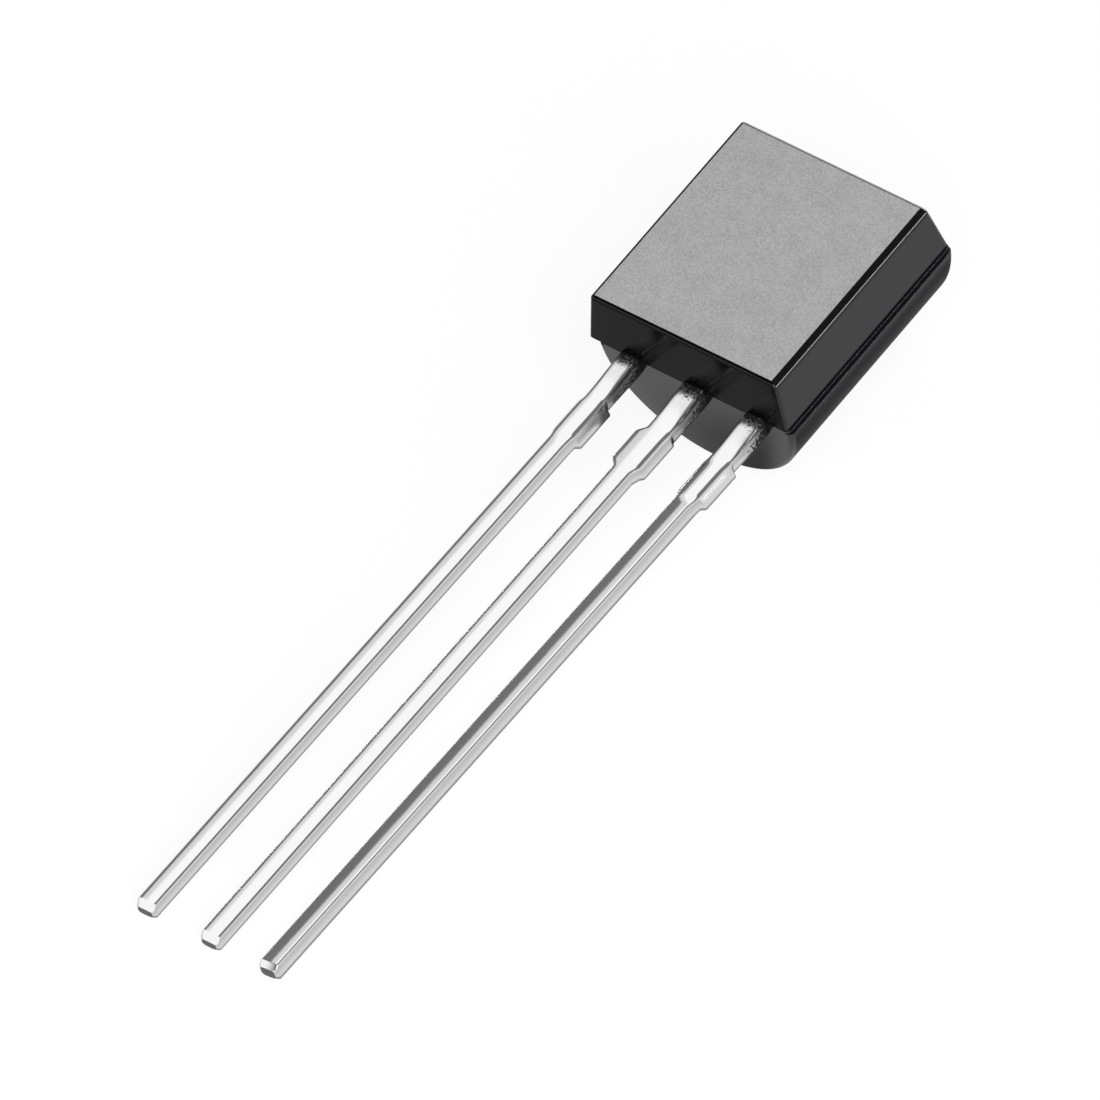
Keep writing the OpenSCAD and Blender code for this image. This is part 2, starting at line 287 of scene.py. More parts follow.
def side_profile(draft, rim=RIM_R):
    """Inset and height from the groove at the parting plane up the side and over the rim, by level."""
    groove = np.radians(np.linspace(0.0, 90.0, 6))
    groove_z = GROOVE_R * (1 - np.cos(groove))
    groove_in = GROOVE_R * (1 - np.sin(groove)) + groove_z * math.tan(draft)
    arc_in, arc_z = rim_profile(draft, rim, np.linspace(0.0, 1.0, 13))
    wall_z = np.array([GROOVE_R + SUPPORT, 0.35, 0.7, arc_z[0] - SUPPORT])
    wall_in = wall_z * math.tan(draft)
    return (np.concatenate([groove_in, wall_in, arc_in, [arc_in[-1] + SUPPORT]]),
            np.concatenate([groove_z, wall_z, arc_z, [FRONT_D]]))


def front_rings():
    """The flat-faced half, from the parting plane to a pole at the middle of the flat face."""
    low, high = side_profile(LEAD_END_DRAFT), side_profile(TOP_DRAFT)
    halves = []
    for way, rim in ((1, RIM_RIGHT_R), (-1, RIM_R)):
        rows = []
        side = side_profile(SIDE_DRAFT, rim)
        for side_in, side_z, low_in, low_z, high_in, high_z in zip(*side, *low, *high):
            past_wall = max(0.0, side_z - (FRONT_D - rim))
            corner = max(0.0, CORNER_R - rim + math.sqrt(max(0.0, rim**2 - past_wall**2)))
            rows.append(half_ring(face_centre[0], face_centre[0] + way * (BODY_W / 2 - side_in), low_in,
                                  BODY_H - high_in, corner, low_z, side_z, high_z))
        halves.append(rows)
    rings = [full_ring(right, left) for right, left in zip(*halves)]
    face_ring = rings[-1]
    for share in (0.5, 0.0):
        rings.append(face_centre + (face_ring - face_centre) * share)
    return np.stack(rings)


# %% [markdown]
# The round half is a half disc carried along y. Its section starts on the
# parting plane, steps down where the mould lands met, and then follows the
# circle. Seen the other way, each line from the middle of the lead end runs out
# over the end face, round a fillet, along the back and down the other end, which
# drafts with depth.

# %% The round half, as lines from end to end
def rear_section(count=73):
    """Section points of unit radius, in (x, z).

    A flat on the parting plane, a step down, an edge arc, half a circle, and the
    first three mirrored.
    """
    edge, top_edge, step, drop, support = np.array(
        [LEDGE_EDGE_R, STEP_EDGE_R, LEDGE_STEP, LEDGE_DROP, SUPPORT]) / REAR_R
    first = math.asin((drop + edge) / (1 - edge))
    turns = np.linspace(first, math.pi - first, count)
    circle = np.stack([np.cos(turns), -np.sin(turns)], axis=-1)

    def arc(centre, radius, start, stop, points):
        angle = np.linspace(start, stop, points)
        return centre + radius * np.stack([np.cos(angle), np.sin(angle)], axis=-1)

    wall = 1 - step
    top = arc([wall - top_edge, -top_edge], top_edge, math.pi / 2, 0, 4)
    low = arc((1 - edge) * np.array([math.cos(first), -math.sin(first)]), edge, math.pi / 2, -first, 6)
    start = np.concatenate([
        top[:1] - [support, 0.0], top, [[wall, -top_edge - support], [wall, support / 2 - drop],
                                        [wall, -drop], [wall + support / 2, -drop]], low[:-1]])
    return np.concatenate([start, circle, start[::-1] * [-1, 1]])


def rear_lines():
    """The round half: rows from end to end, columns round the section, and y drafted by depth."""
    turn = CORNER_TURNS[1:]
    reach = np.concatenate([
        END_PARTS * (REAR_R - END_FILLET),
        REAR_R - END_FILLET * (1 - np.sin(turn)),
        np.full(len(SIDE_PARTS) - 1, REAR_R),
        REAR_R - END_FILLET * (1 - np.cos(turn)),
        (REAR_R - END_FILLET) * END_PARTS[-2::-1],
    ])
    rise = END_FILLET * (1 - np.cos(turn))
    low_rise = np.concatenate([np.zeros(len(END_PARTS)), rise])
    run = SIDE_PARTS[1:-1]
    section = rear_section()
    x = REAR_SHIFT + reach[:, None] * section[None, :, 0]
    z = reach[:, None] * section[None, :, 1]
    draft_in = -z * math.tan(REAR_DRAFT)
    y_low = draft_in + END_FILLET
    y_high = BODY_H - draft_in - END_FILLET
    y = np.empty_like(x)
    lows = len(low_rise)
    y[:lows] = draft_in[:lows] + low_rise[:, None]
    y[-lows:] = BODY_H - draft_in[-lows:] - low_rise[::-1, None]
    middle = slice(lows, len(reach) - lows)
    y[middle] = y_low[middle] + (y_high - y_low)[middle] * run[:, None]
    return np.stack([x, y, z], axis=-1)


front, rear = front_rings(), rear_lines()
parting_ring = full_ring(rear[:, 0], rear[:, -1])
print("rings of", front.shape[1], "points; the round half's parting line has", len(parting_ring))

# %% [markdown]
# The two halves share the ring on the parting plane. Between it and the flat
# half's own lowest ring lies the ledge: on one side it looks up, on the other
# down, because the mould halves are shifted against each other.

# %% Make the moulding
moulding = closed_piece("moulding", [
    (np.concatenate([parting_ring[None], front]), True),
    (rear, False),
])
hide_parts("body")
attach(moulding, "root")

# %% [markdown]
# Two traces of moulding show on the hidden sides. An ejector pin has pressed a
# flat round mark into the crest of the back, and the gate, through which the
# compound flowed in, has broken off at the top end and left a rough stump. The
# mark is a cylinder taken away; the stump is a small block whose outer face is
# a sum of waves, joined on.

# %% Ejector mark and broken gate
EJECTOR_D, EJECTOR_DEPTH = 1.1, 0.05
GATE_W, GATE_TOP, GATE_T, GATE_STUB, GATE_ROOT = 0.7, 0.013, 0.22, 0.05, 0.3


def turned_column(name, centre, radius, z_low, z_high, columns=96):
    """A closed cylinder along z: rows are its poles and rims, columns go round.

    Column k is at the angle (k + 0.5) * 2 * pi / columns, so none lies along x or y.
    """
    turns = np.linspace(0, 2 * math.pi, columns, endpoint=False) + math.pi / columns
    reach = np.array([0.0, radius, radius, 0.0])[:, None]
    z = np.array([z_low, z_low, z_high, z_high])[:, None]
    points = np.stack(np.broadcast_arrays(
        centre[0] + reach * np.cos(turns), centre[1] + reach * np.sin(turns), z), axis=-1)
    return closed_piece(name, [(points, True)])


def broken_gate(name, rows=15, columns=29):
    """A closed stump: rows run from inside the moulding over its top, its end and back underneath.

    Its end stands out by GATE_STUB times a sum of sine waves of x and z, from 0.3 to 1.
    Its top lies GATE_TOP below the parting plane, clear of the faces on that plane.
    """
    x = np.linspace(-GATE_W / 2, GATE_W / 2, columns)
    depth = np.linspace(0, 1, rows)
    grid_x, grid_d = np.meshgrid(x, depth)
    waves = np.sin(23 * grid_x + 2.0) * np.cos(17 * grid_d) + 0.6 * np.sin(61 * grid_x + 29 * grid_d)
    stands_out = GATE_STUB * (0.65 + 0.2 * waves)
    end_z = -GATE_TOP - grid_d * (GATE_T - GATE_TOP)
    end = np.stack([grid_x, BODY_H + end_z * math.tan(REAR_DRAFT) + stands_out, end_z], axis=-1)
    root = end.copy()
    root[..., 1] = BODY_H - GATE_ROOT
    seam = [np.stack([root[:, 0], end[:, 0]]), np.stack([root[:, -1], end[:, -1]]),
            np.stack([root[0], end[0]]), np.stack([root[-1], end[-1]])]
    return closed_piece(name, [(end, False), (root, False)] + [(s, False) for s in seam])


carve(moulding, broken_gate("gate"), "UNION")
mark_centre = (REAR_SHIFT, BODY_H / 2)
carve(moulding, turned_column("ejector_pin", mark_centre, EJECTOR_D / 2, -REAR_R - 0.5,
                              -REAR_R + EJECTOR_DEPTH), "DIFFERENCE")
smooth_but_crisp(moulding)

# %% [markdown]
# ## Leads from one strip
#
# The leads are punched from flat strip. Punching rolls the edges of the front
# face over and leaves the back sharper, and cutting away the dam bar that
# joined them spreads the metal at the stubs. So a lead is one section, a
# rectangle with four corner radii, carried along y, and everything that changes
# on the way is a short table of y against a size.

# %% Tables that describe a lead along its length
LEAD_PITCH, LEAD_T, LEAD_DROP, LEAD_L = 1.27, 0.345, 0.05, 13.04
ROOT_HALF, LEG_HALF = 0.185, 0.18
TIP_RUN, TIP_BACK_BEVEL, TIP_ROUND = 0.11, 0.08, 0.06
STUB_TOP, STUB_END, STUB_RAMP = -0.97, -1.93, 0.18
SHEAR_TOP, SHEAR_END, SHEAR_RAMP, TWIST_TOP, TWIST_RAMP = -0.89, -1.80, 0.07, -1.80, 0.25
LEFT_EDGE_R, ROLLED_R, BACK_EDGE_R = 0.06, 0.08, 0.06
SHEAR_CUT = 44.0
CROWN = 0.011
RESIN_SLOPE, RESIN_RUN, RESIN_END = 0.045, 0.9, 0.3
RESIN_RISE, RISE_START, RISE_RUN = 0.054, -0.8, 0.7
STEP = 0.002

strip_front, strip_back = -LEAD_DROP, -LEAD_DROP - LEAD_T


def outside_rows(root_left=ROOT_HALF, root_right=ROOT_HALF, leg_left=LEG_HALF, leg_right=LEG_HALF):
    """Rows of y and the lead's reach left and right of its axis, from the tip to the moulding."""
    return [(-LEAD_L, leg_left, leg_right), (STUB_END, leg_left, leg_right),
            (STUB_END + STUB_RAMP, root_left, root_right)]


def locked_rows(outside, *after):
    """Adds the locking ears inside the moulding, then the rows in after.

    A change of width takes the length STEP.
    """
    root = ROOT_HALF
    return outside + [(0.0, *outside[-1][1:]), (0.42, root, root), (0.42 + STEP, 0.31, 0.31),
                      (0.72, 0.31, 0.31), (0.72 + STEP, root, root), (after[0][0] - STEP, root, root),
                      *after]


lead_plans = {
    "emitter_lead": dict(
        x=-LEAD_PITCH, lean=0.86, lift=0.003, twist=-2.5, bulge_left=0.045, bulge_right=0.007,
        shear_out=0.095, left_r=0.09, right_r=0.045, stub_crown=0.0, tip_drop=0.14,
        rows=locked_rows(outside_rows(), (2.25, 0.30, 0.30), (2.71, 0.30, 0.30))),
    "base_lead": dict(
        x=0.0, lean=0.74, lift=0.0, twist=-1.0, bulge_left=0.115, bulge_right=-0.01,
        shear_out=0.045, left_r=0.05, right_r=0.045, stub_crown=0.0, tip_drop=0.14,
        rows=locked_rows(outside_rows(root_right=0.25), (1.12, 0.46, 0.46), (1.58, 0.46, 0.46))),
    "collector_lead": dict(
        x=LEAD_PITCH, lean=1.14, lift=0.015, twist=-8.6, bulge_left=0.06, bulge_right=-0.015,
        shear_out=0.085, left_r=0.12, right_r=0.036, stub_crown=0.018, tip_drop=0.09,
        rows=locked_rows(
            outside_rows(root_right=0.21, leg_left=LEG_HALF - 0.02, leg_right=LEG_HALF + 0.02),
            (1.98, 1.665, ROOT_HALF), (2.18, 1.865, ROOT_HALF), (3.38, 1.865, ROOT_HALF),
            (3.58, 1.665, ROOT_HALF - 0.2))),
}

# %% [markdown]
# The section's points are written once for all the leads. Each belongs to one
# corner or lies between two, and says at what angle it leaves the corner's
# centre; the numbers for each place along the lead then move the corners.

# %% The strip's section, carried along a lead
FRONT_LEFT, FRONT_RIGHT, BACK_RIGHT, BACK_LEFT = range(4)


def section_plan():
    """Rows of (corner, next corner, share of the way, angle in degrees) round the section."""
    def arc(corner, start, stop, count):
        return [(corner, corner, 0.0, a) for a in np.linspace(start, stop, count)]

    def run(corner, following, angle, shares):
        return [(corner, following, s, angle) for s in shares]

    sides = (0.04, 0.35, 0.65, 0.96)
    return np.array(
        arc(FRONT_LEFT, 180, 90, 7) + run(FRONT_LEFT, FRONT_RIGHT, 90, np.linspace(0, 1, 11)[1:-1])
        + arc(FRONT_RIGHT, 90, SHEAR_CUT, 6) + arc(FRONT_RIGHT, SHEAR_CUT / 2, 0, 2)
        + run(FRONT_RIGHT, BACK_RIGHT, 0, sides)
        + arc(BACK_RIGHT, 0, -90, 5) + run(BACK_RIGHT, BACK_LEFT, -90, (0.04, 0.5, 0.96))
        + arc(BACK_LEFT, -90, -180, 5) + run(BACK_LEFT, FRONT_LEFT, 180, sides))


def section_marks(plan):
    """Two values from 0 to 1 for each point of the section.

    torn grows from the front face to the torn back edges; rolled is 1 in the
    middle of a rolled front edge.
    """
    by_corner = np.array([0.0, 0.0, 1.0, 1.0])
    start, stop = by_corner[plan[:, 0].astype(int)], by_corner[plan[:, 1].astype(int)]
    from_middle = np.abs(np.abs(plan[:, 3] - 90.0) - 45.0)
    rolled = np.where((start + stop == 0) & (plan[:, 2] == 0), 1.0 - from_middle / 45.0, 0.0)
    return {"torn": start + (stop - start) * plan[:, 2], "rolled": np.clip(rolled, 0.0, 1.0)}


def soft_step(share):
    """0 below 0, 1 above 1, and 3 s^2 - 2 s^3 between."""
    share = np.clip(share, 0, 1)
    return share * share * (3 - 2 * share)


def lead_stations(rows):
    """Places along the lead: close at the tip and the stub, wide on the leg, one at each row."""
    spans = [(-LEAD_L, -LEAD_L + 0.13, 27), (-LEAD_L + 0.13, STUB_END - 0.2, 45),
             (STUB_END - 0.2, SHEAR_TOP + 0.1, 64), (SHEAR_TOP + 0.1, RESIN_END, 28),
             (RESIN_END, rows[-1][0], 14)]
    return np.unique(np.concatenate([np.linspace(*s) for s in spans] + [[r[0] for r in rows]]).round(5))


def strip_grid(x, lean, lift, twist, bulge_left, bulge_right, shear_out, left_r, right_r, stub_crown,
               tip_drop, rows):
    """The whole skin of a lead: rows along y, columns round the section, with a pole at each end.

    The corners' centres lie one radius inside the strip's faces, except that the
    shear on the right cuts the rolled front edge off at SHEAR_CUT degrees. The
    front face is crowned by a parabola, the axis leans by tan(lean) y and rises by
    lift at the tip, and below the stub the section turns about the axis. Towards the
    moulding the front face rises with a thin slope of resin and tin, which ends at
    RESIN_END inside it, so that the chip's seat stays as it is. The tip's
    front edge is bevelled. Right of the stub the dam bar was cut off: the edge is
    rolled further there and the back edge stands out.
    """
    y = lead_stations(rows)
    left, right = (np.interp(y, [r[0] for r in rows], [r[k] for r in rows]) for k in (1, 2))
    from_tip = y + LEAD_L
    corner_gone = np.clip(TIP_ROUND - from_tip, 0, None)
    tip_in = TIP_ROUND - np.sqrt(TIP_ROUND**2 - corner_gone**2)
    tip_share = np.clip((TIP_RUN - from_tip) / TIP_RUN, 0, 1)
    z_front = strip_front - tip_drop * tip_share
    z_back = strip_back + np.clip(TIP_BACK_BEVEL - from_tip, 0, None)
    stub = soft_step((STUB_TOP - y) / STUB_RAMP) * soft_step((y - STUB_END) / STUB_RAMP)
    sheared = soft_step((SHEAR_TOP - y) / SHEAR_RAMP) * soft_step((y - SHEAR_END) / SHEAR_RAMP)

    plan = section_plan()
    corner, following = plan[:, 0].astype(int), plan[:, 1].astype(int)
    share, angle = plan[:, 2], np.radians(plan[:, 3])
    reach = np.stack([-left - bulge_left * stub, right + bulge_right * stub,
                      right + shear_out * sheared, -left - shear_out * sheared])
    sign = np.array([-1, 1, 1, -1])[:, None]
    radius = np.stack([LEFT_EDGE_R + (left_r - LEFT_EDGE_R) * stub,
                       right_r + (ROLLED_R - right_r) * sheared,
                       np.full_like(y, BACK_EDGE_R), np.full_like(y, BACK_EDGE_R)])
    cut = np.array([1.0, math.cos(math.radians(SHEAR_CUT)), 1.0, 1.0])[:, None]
    centre_x = reach - sign * (radius * cut + tip_in)
    centre_z = np.stack([z_front - radius[0], z_front - radius[1],
                         z_back + radius[2], z_back + radius[3]])

    def at(c):
        return (centre_x[c] + radius[c] * np.minimum(np.cos(angle)[:, None], cut[c]),
                centre_z[c] + radius[c] * np.sin(angle)[:, None])

    (x_a, z_a), (x_b, z_b) = at(corner), at(following)
    across = (x_a + (x_b - x_a) * share[:, None]).T
    z = (z_a + (z_b - z_a) * share[:, None]).T
    half = (left + right)[:, None] / 2
    offset = (across - (right - left)[:, None] / 2) / half
    outside = soft_step(-y / 0.1)[:, None]
    z = z - CROWN * outside * offset**2 * np.clip(np.sin(angle), 0, None)
    z = z - stub_crown * stub[:, None] * np.clip(-offset, 0, None)**2 * np.clip(np.sin(angle), 0, None)
    resin = RESIN_SLOPE * np.clip(y + RESIN_RUN, 0, RESIN_RUN)
    resin = resin + RESIN_RISE * soft_step((y - RISE_START) / RISE_RUN)
    resin = resin * (1 - soft_step(y / RESIN_END))
    z = z + resin[:, None] * np.clip(np.sin(angle), 0, None)
    turn = np.radians(twist) * soft_step((TWIST_TOP - y) / TWIST_RAMP)[:, None]
    z_axis = (strip_front + strip_back) / 2
    turned_x = across * np.cos(turn) + (z - z_axis) * np.sin(turn)
    turned_z = z_axis + (z - z_axis) * np.cos(turn) - across * np.sin(turn)
    turned_z = turned_z - lift * np.minimum(y, 0)[:, None] / LEAD_L
    place_x = x + np.minimum(y, 0)[:, None] * math.tan(math.radians(lean)) + turned_x
    skin = np.stack([place_x, np.broadcast_to(y[:, None], place_x.shape), turned_z], axis=-1)
    ends = []
    for ring in (skin[0], skin[-1]):
        middle = ring.mean(axis=0)
        ends.append([middle + (ring - middle) * s for s in (0.0, 0.5, 0.97)])
    return np.concatenate([ends[0], skin, ends[1][::-1]])


# %% [markdown]
# The collector's strip widens into the paddle that carries the chip, and the
# compound locks into a small hole in its corner.

# %% Make the leads
LOCK_HOLE_D = 0.3
PADDLE_RIGHT, CHIP_RIGHT = LEAD_PITCH + ROOT_HALF, 0.83
lock_hole = ((CHIP_RIGHT + PADDLE_RIGHT) / 2, 3.58 - 0.2 - LOCK_HOLE_D / 2)

leads = {}
for node_name, plan in lead_plans.items():
    skin = strip_grid(**plan)
    marks = {label: np.tile(values, skin.shape[0])
             for label, values in section_marks(section_plan()).items()}
    lead = closed_piece(node_name.replace("lead", "lead_strip"), [(skin, True)], marks)
    if node_name == "collector_lead":
        carve(lead, turned_column("lock_hole", lock_hole, LOCK_HOLE_D / 2, -1.0, 1.0, columns=48),
              "DIFFERENCE")
    smooth_but_crisp(lead)
    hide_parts(node_name)
    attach(lead, "root")
    leads[node_name] = lead

# %% [markdown]
# ## Finishes
#
# All the patterns are worked out in the component's own millimetres, so that a
# streak follows a lead and a face keeps its texture wherever it is looked at
# from. A Mapping node takes the Object coordinates there: scale to millimetres,
# turn back by the lie angle, shift back.

# %% Helpers for materials
def add_node(tree, kind, inputs=None, **settings):
    """Adds a node, sets its properties and the inputs in inputs, each a value or a socket to link."""
    node = tree.nodes.new(kind)
    for name, value in settings.items():
        setattr(node, name, value)
    for name, value in (inputs or {}).items():
        if isinstance(value, bpy.types.NodeSocket):
            tree.links.new(value, node.inputs[name])
        else:
            node.inputs[name].default_value = value
    return node


def calc(tree, operation, a, b=0.0, c=0.0):
    """A Math node's result."""
    return add_node(tree, "ShaderNodeMath", {0: a, 1: b, 2: c}, operation=operation).outputs[0]


def ramp(tree, value, low, high, to_low=0.0, to_high=1.0):
    """A smooth change from to_low to to_high while value goes from low to high."""
    return add_node(tree, "ShaderNodeMapRange", {
        "Value": value, "From Min": low, "From Max": high, "To Min": to_low, "To Max": to_high,
    }, interpolation_type="SMOOTHSTEP").outputs["Result"]


def blend(tree, mask, first, second):
    """A colour that goes from first to second with mask."""
    mix = add_node(tree, "ShaderNodeMix", data_type="RGBA")
    for name, value in (("Factor", mask), ("A", first), ("B", second)):
        socket = next(s for s in mix.inputs
                      if s.name == name and s.type == ("VALUE" if name == "Factor" else "RGBA"))
        if isinstance(value, bpy.types.NodeSocket):
            tree.links.new(value, socket)
        else:
            socket.default_value = value
    return next(s for s in mix.outputs if s.type == "RGBA")


def grey(value, blue=0.0):
    """A neutral colour, a little bluer by blue."""
    return (value, value, value * (1 + blue), 1.0)


def new_finish(name):
    """A material with an empty Principled surface.

    Returns it, its tree, its shader and the place in the component's millimetres.
    """
    finish = bpy.data.materials.new(name)
    finish.use_nodes = True
    tree = finish.node_tree
    shader = tree.nodes["Principled BSDF"]
    where = add_node(tree, "ShaderNodeTexCoord").outputs["Object"]
    back_shift = -(LIE.T @ LIE_OFFSET)
    place = add_node(tree, "ShaderNodeMapping", {
        "Vector": where, "Location": back_shift, "Rotation": (-lie_angle, 0, 0),
        "Scale": (1 / MM,) * 3})
    return finish, tree, shader, place.outputs["Vector"]


def socket(tree, shader, **values):
    """Sets or links the shader's inputs, named with _ for a space."""
    for name, value in values.items():
        target = shader.inputs[name.replace("_", " ")]
        if isinstance(value, bpy.types.NodeSocket):
            tree.links.new(value, target)
        else:
            target.default_value = value


# %% [markdown]
# Two effects serve several finishes, so each is a node group. Grain is noise
# whose stretch can differ by axis: even, it is the texture of a spark-eroded
# mould; drawn out along y, it is the draw marks on strip. Speckle is a broken
# mask that thins out over a distance, as resin flash does beside a mould.

# %% Shared effects as node groups
def new_group(name, inputs, outputs):
    """A shader node group with the named (kind, name, default) inputs and (kind, name) outputs."""
    group = bpy.data.node_groups.new(name, "ShaderNodeTree")
    for kind, label, default in inputs:
        made = group.interface.new_socket(label, in_out="INPUT", socket_type=kind)
        if default is not None:
            made.default_value = default
    for kind, label in outputs:
        group.interface.new_socket(label, in_out="OUTPUT", socket_type=kind)
    return group, group.nodes.new("NodeGroupInput"), group.nodes.new("NodeGroupOutput")


grain_group, grain_in, grain_out = new_group("grain", [
    ("NodeSocketVector", "Place", None), ("NodeSocketVector", "Stretch", (1.0, 1.0, 1.0)),
    ("NodeSocketFloat", "Fineness", 10.0), ("NodeSocketFloat", "Contrast", 1.0),
], [("NodeSocketFloat", "Value")])
stretched = add_node(grain_group, "ShaderNodeVectorMath", {
    0: grain_in.outputs["Place"], 1: grain_in.outputs["Stretch"]}, operation="MULTIPLY")
coarse = add_node(grain_group, "ShaderNodeTexNoise", {
    "Vector": stretched.outputs[0], "Scale": grain_in.outputs["Fineness"], "Detail": 4.0,
    "Roughness": 0.55})
centred = calc(grain_group, "SUBTRACT", coarse.outputs["Fac"], 0.5)
spread = calc(grain_group, "MULTIPLY", centred, grain_in.outputs["Contrast"])
grain_group.links.new(calc(grain_group, "ADD", spread, 0.5), grain_out.inputs["Value"])

speckle_group, speckle_in, speckle_out = new_group("speckle", [
    ("NodeSocketVector", "Place", None), ("NodeSocketFloat", "Distance", 0.0),
    ("NodeSocketFloat", "Reach", 0.4), ("NodeSocketFloat", "Fineness", 14.0),
], [("NodeSocketFloat", "Mask")])
flecks = add_node(speckle_group, "ShaderNodeTexNoise", {
    "Vector": speckle_in.outputs["Place"], "Scale": speckle_in.outputs["Fineness"],
    "Detail": 3.0, "Roughness": 0.6})
gone = calc(speckle_group, "DIVIDE", speckle_in.outputs["Distance"], speckle_in.outputs["Reach"])
level = calc(speckle_group, "MULTIPLY_ADD", gone, 0.50, 0.30)
above = calc(speckle_group, "SUBTRACT", flecks.outputs["Fac"], level)
speckle_group.links.new(ramp(speckle_group, above, 0.0, 0.05), speckle_out.inputs["Mask"])


def grain(tree, place, fineness, stretch=(1, 1, 1), contrast=1.0):
    """Noise round 0.5 from the grain group."""
    group = add_node(tree, "ShaderNodeGroup", node_tree=grain_group)
    tree.links.new(place, group.inputs["Place"])
    group.inputs["Stretch"].default_value = stretch
    group.inputs["Fineness"].default_value = fineness
    group.inputs["Contrast"].default_value = contrast
    return group.outputs["Value"]


# %% [markdown]
# ### Moulding compound
#
# The compound is a black epoxy filled with quartz. A polished mould leaves the
# sides glossy, and they show little more than what they reflect. The flat face
# comes off a spark-eroded insert: it is finely pitted, scatters the light, and
# looks grey beside the black sides. Its grey is a colour here. The lead end of
# the flat half and the rim are painted blacker than the other sides, a painted
# shade, and that end shines less.

# %% The moulding's finish
GLOSS_BASE, MATTE_BASE, PAINTED_SHADE_BASE = 0.005, 0.425, 0.0015
MATTE_ROUGH = 0.62
GLOSS_SPECULAR, END_SPECULAR = 0.42, 0.08
FACE_START, FACE_FULL = FRONT_D - 0.0012, FRONT_D - 0.0003
RIM_START, RIM_FULL = FRONT_D - 0.12, FRONT_D - 0.08
compound, tree, shader, place = new_finish("moulding_compound")
split = add_node(tree, "ShaderNodeSeparateXYZ", {"Vector": place})
over_top = ramp(tree, split.outputs["Y"], face_high - 0.05, face_high)
above_rim = calc(tree, "MULTIPLY_ADD", over_top, RIM_R, split.outputs["Z"])
on_face = ramp(tree, above_rim, FACE_START, FACE_FULL)
mottle = grain(tree, place, 2.6, contrast=1.2)
pits = grain(tree, place, 34.0, contrast=1.6)
face_tone = calc(tree, "MULTIPLY_ADD", mottle, 0.25, calc(tree, "MULTIPLY", pits, 0.75))
matte = blend(tree, ramp(tree, face_tone, 0.25, 0.75),
              grey(MATTE_BASE * 0.82), grey(MATTE_BASE * 1.18, 0.015))
gloss = blend(tree, grain(tree, place, 7.0), grey(GLOSS_BASE * 0.7, 0.2), grey(GLOSS_BASE * 1.6, 0.3))
gloss_rough = calc(tree, "MULTIPLY_ADD", grain(tree, place, 9.0, contrast=1.5), 0.10, 0.07)
facing = add_node(tree, "ShaderNodeNewGeometry").outputs["Normal"]
facing_leads = calc(tree, "MULTIPLY", add_node(
    tree, "ShaderNodeSeparateXYZ", {"Vector": facing}).outputs["Y"], -1.0)
in_flat_half = ramp(tree, split.outputs["Z"], 0.0, 0.02)
dull_end_and_shade = calc(tree, "MULTIPLY", ramp(tree, facing_leads, 0.75, 0.95), in_flat_half)
side_rough = calc(tree, "MULTIPLY_ADD", dull_end_and_shade, 0.03, gloss_rough)
rough = add_node(tree, "ShaderNodeMix", {0: on_face, 2: side_rough, 3: MATTE_ROUGH}, data_type="FLOAT")
height = calc(tree, "MULTIPLY_ADD", calc(tree, "MULTIPLY", pits, on_face), 1.0,
              calc(tree, "MULTIPLY", grain(tree, place, 5.0), 0.25))
relief = add_node(tree, "ShaderNodeBump", {"Height": height, "Strength": 0.5, "Distance": 0.004 * MM})
# Painted shade: the rim and the lead end of the flat half are given a blacker colour than the other
# glossy sides.
rim_shade = ramp(tree, split.outputs["Z"], RIM_START, RIM_FULL)
skin = blend(tree, calc(tree, "MAXIMUM", dull_end_and_shade, rim_shade), gloss, grey(PAINTED_SHADE_BASE))
socket(tree, shader, Base_Color=blend(tree, on_face, skin, matte), Roughness=rough.outputs[0],
       Normal=relief.outputs["Normal"], IOR=1.55,
       Specular_IOR_Level=calc(tree, "MULTIPLY_ADD", dull_end_and_shade, END_SPECULAR - GLOSS_SPECULAR,
                               GLOSS_SPECULAR))
moulding.data.materials.clear()
moulding.data.materials.append(compound)

# %% [markdown]
# ### Tinned strip
#
# The strip is dipped in tin after moulding. Tin is a bright, slightly soft
# mirror with faint draw marks along the lead. Where the mould closed on the
# strip, thin resin flash has stayed on the metal in dark flecks, and the cut
# ends are bare and dull. Painted shade darkens the tin colour next to the front
# face on each side, on the back edges, and on the rolled edges near the moulding.

# %% The leads' finish
FLASH_REACH, SIDE_FLASH, FLASH_TONE, FLASH_ROUGH = 0.42, 0.60, 0.012, 0.55
SIDE_SHADE_TONE, BACK_EDGE_SHADE_TONE, CUT_TONE, ROOT_EDGE_SHADE_TONE = 0.68, 0.34, 0.16, 0.10
CUT_START, CUT_FULL = LEAD_L - 0.012, LEAD_L - 0.004
tin, tree, shader, place = new_finish("tinned_strip")
split = add_node(tree, "ShaderNodeSeparateXYZ", {"Vector": place})
from_body = calc(tree, "MULTIPLY", split.outputs["Y"], -1.0)
torn = add_node(tree, "ShaderNodeAttribute", attribute_name="torn").outputs["Fac"]
beside = ramp(tree, torn, 0.05, 0.4)
reach = calc(tree, "MULTIPLY_ADD", beside, SIDE_FLASH, FLASH_REACH)
flash = add_node(tree, "ShaderNodeGroup", {
    "Place": place, "Distance": from_body, "Reach": reach, "Fineness": 24.0},
    node_tree=speckle_group).outputs["Mask"]
cut_end = ramp(tree, from_body, CUT_START, CUT_FULL)
draw_marks = grain(tree, place, 30.0, stretch=(1.0, 0.03, 1.0), contrast=1.3)
clouds = grain(tree, place, 1.6, stretch=(1.0, 0.35, 1.0))
bright = blend(tree, clouds, grey(0.86), grey(0.94, 0.01))
